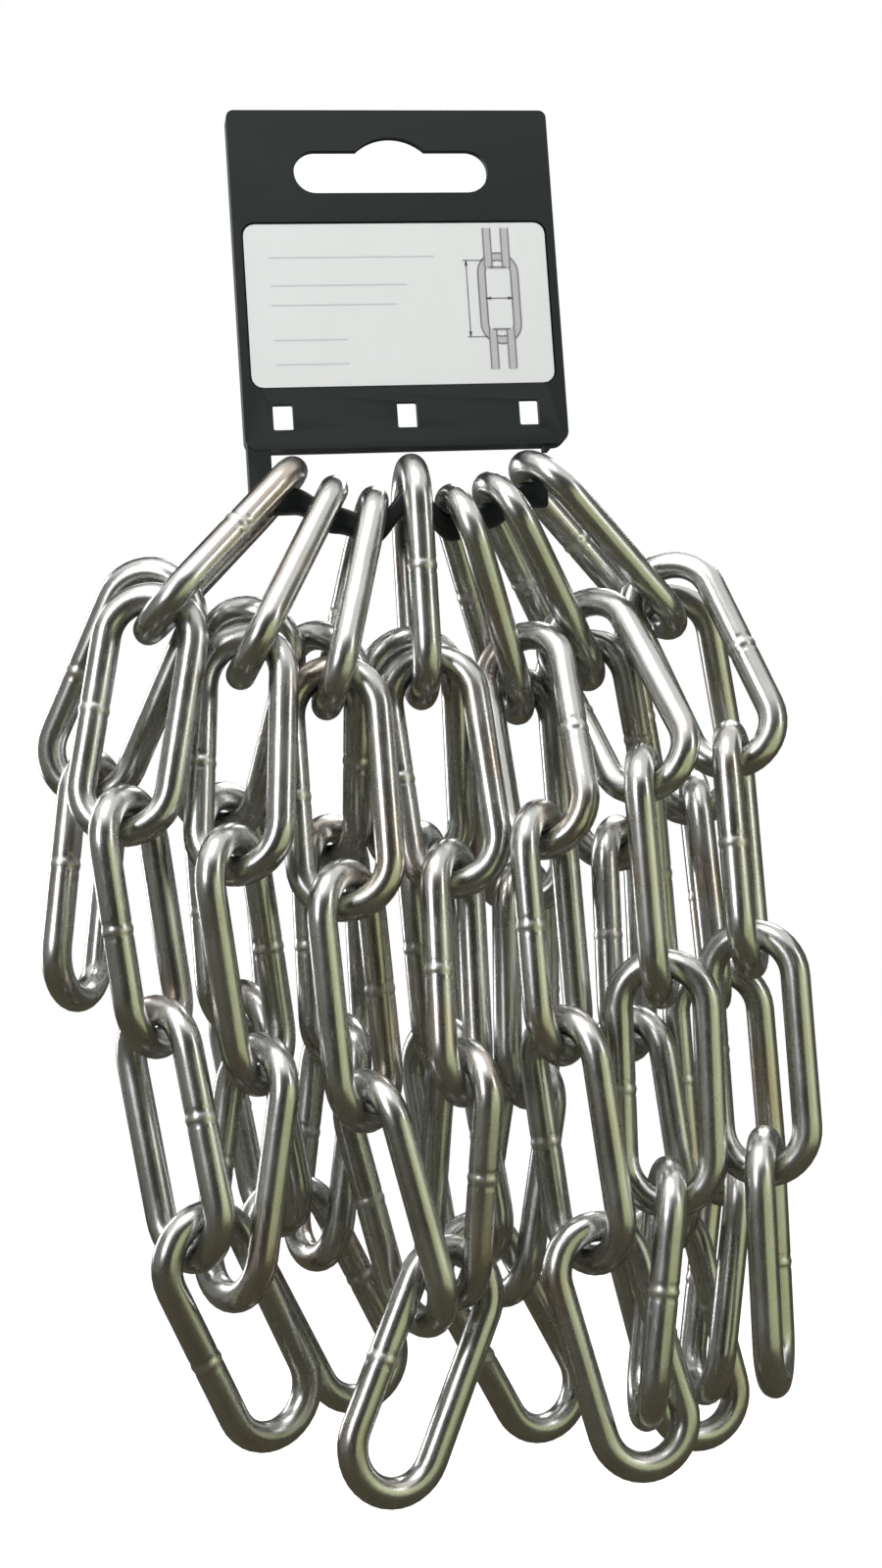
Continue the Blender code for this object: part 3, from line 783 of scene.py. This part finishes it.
def floor_material():
    """Pale paint that keeps a soft shadow; its glow lifts it to the white ground of the picture."""
    made = plain_material("floor_face", FLOOR_COLOUR)
    tree = made.node_tree
    shader = tree.nodes["Principled BSDF"]
    shader.inputs["Emission Color"].default_value = WHITE
    glow = calculate(tree, "MULTIPLY", seen_by_mirrors_too(tree), FLOOR_GLOW)
    tree.links.new(glow, shader.inputs["Emission Strength"])
    return made


def flat_sheet(name, width, height, material):
    mesh = bpy.data.meshes.new(name)
    w, h = width / 2, height / 2
    mesh.from_pydata([(-w, -h, 0), (w, -h, 0), (w, h, 0), (-w, h, 0)], [], [(0, 1, 2, 3)])
    made = linked(name, mesh)
    made.data.materials.append(material)
    return made


def aimed(made, place, forward):
    """Set an object at a place with the named one of its axes toward the bundle."""
    made.location = place
    made.rotation_euler = (Vector(BUNDLE_MIDDLE) - Vector(place)).to_track_quat(forward, "Y").to_euler()


def card(name, centre, width, height, colour):
    """A studio card that faces the bundle."""
    made = flat_sheet(name, width, height, plain_material(name + "_face", colour))
    aimed(made, centre, "Z")
    made.visible_camera = False
    made.visible_shadow = False
    made.visible_diffuse = False


floor = flat_sheet("floor", FLOOR_SIZE, FLOOR_SIZE, floor_material())
floor.location = (0, 0, FLOOR_HEIGHT)
card("dark_flag_front", (0.0, -0.64, -0.10), 1.30, 0.95, (0.030, 0.026, 0.020, 1.0))
card("grey_card_left", (-0.66, 0.0, -0.10), 1.30, 0.95, (0.22, 0.215, 0.20, 1.0))
card("dark_flag_right", (0.66, 0.0, -0.10), 1.30, 0.95, (0.12, 0.115, 0.10, 1.0))
card("dark_flag_back", (0.0, 0.66, -0.10), 1.30, 0.95, (0.10, 0.10, 0.095, 1.0))
card("dark_flag_high", (0.0, 0.46, 0.42), 1.30, 0.50, (0.050, 0.054, 0.060, 1.0))
card("green_card_low", (0.22, -0.20, -0.275), 0.42, 0.50, (0.53, 0.57, 0.33, 1.0))
card("brown_card_low", (0.0, 0.0, -0.292), 1.30, 1.30, (0.075, 0.066, 0.042, 1.0))


def soft_box(name, place, size, power, colour):
    """A square-edged lamp that faces the bundle."""
    lamp = bpy.data.lights.new(name, "AREA")
    lamp.shape = "RECTANGLE"
    lamp.size, lamp.size_y = size
    lamp.energy = power
    lamp.color = colour
    aimed(linked(name, lamp), place, "-Z")


soft_box("top_light", (-0.10, -0.28, 0.50), (0.40, 0.26), 2.2, (1.0, 0.99, 0.98))
soft_box("left_light", (-0.46, -0.46, 0.14), (0.20, 0.42), 1.7, (0.96, 0.98, 1.0))
soft_box("right_light", (0.58, -0.44, 0.06), (0.07, 0.45), 0.7, (1.0, 0.98, 0.95))
soft_box("back_light", (0.22, 0.34, 0.26), (0.34, 0.24), 1.5, (1.0, 1.0, 1.0))
soft_box("back_left_light", (-0.34, 0.36, 0.02), (0.10, 0.40), 0.9, (0.98, 0.99, 1.0))


def background(tree, colour, strength):
    made = node(tree, "ShaderNodeBackground")
    made.inputs["Color"].default_value = colour
    made.inputs["Strength"].default_value = strength
    return made.outputs[0]


def studio_world():
    """Even pale light; the white ground shows to the camera and in what the plating mirrors."""
    world = bpy.data.worlds.new("studio")
    world.use_nodes = True
    tree = world.node_tree
    tree.nodes.clear()
    both = node(tree, "ShaderNodeMixShader")
    tree.links.new(seen_by_mirrors_too(tree), both.inputs[0])
    tree.links.new(background(tree, WORLD_LIGHT, WORLD_STRENGTH), both.inputs[1])
    tree.links.new(background(tree, WHITE, 1.0), both.inputs[2])
    out = node(tree, "ShaderNodeOutputWorld")
    tree.links.new(both.outputs[0], out.inputs["Surface"])
    bpy.context.scene.world = world


studio_world()
bpy.context.scene.view_settings.view_transform = "Standard"


# Camera. It stands close in front of the bundle, a little to the left and low, and is held slightly turned,
# so the header's sides lean. Its angles come from the header's corners in a 900 x 1600 picture.
PICTURE_HEIGHT = 1600
FOCAL_PIXELS = 2200
SENSOR = 36.0
CLIP_START = 0.01
CAMERA_PLACE = (-0.061, -0.365, -0.147)
CAMERA_TURN = 9.77
CAMERA_RISE = 5.03
CAMERA_ROLL = -3.84

camera_data = bpy.data.cameras.new("camera")
camera_data.sensor_width = SENSOR
camera_data.lens = FOCAL_PIXELS / PICTURE_HEIGHT * SENSOR
camera_data.clip_start = CLIP_START
camera = linked("camera", camera_data)
turn, rise, roll = (math.radians(a) for a in (CAMERA_TURN, CAMERA_RISE, CAMERA_ROLL))
forward = Vector((math.sin(turn) * math.cos(rise), math.cos(turn) * math.cos(rise), math.sin(rise)))
level = Vector((math.cos(turn), -math.sin(turn), 0.0))
upright = level.cross(forward)
right = level * math.cos(roll) + upright * math.sin(roll)
up = upright * math.cos(roll) - level * math.sin(roll)
camera.matrix_world = Matrix.Translation(CAMERA_PLACE) @ Matrix((right, up, -forward)).transposed().to_4x4()
bpy.context.scene.camera = camera
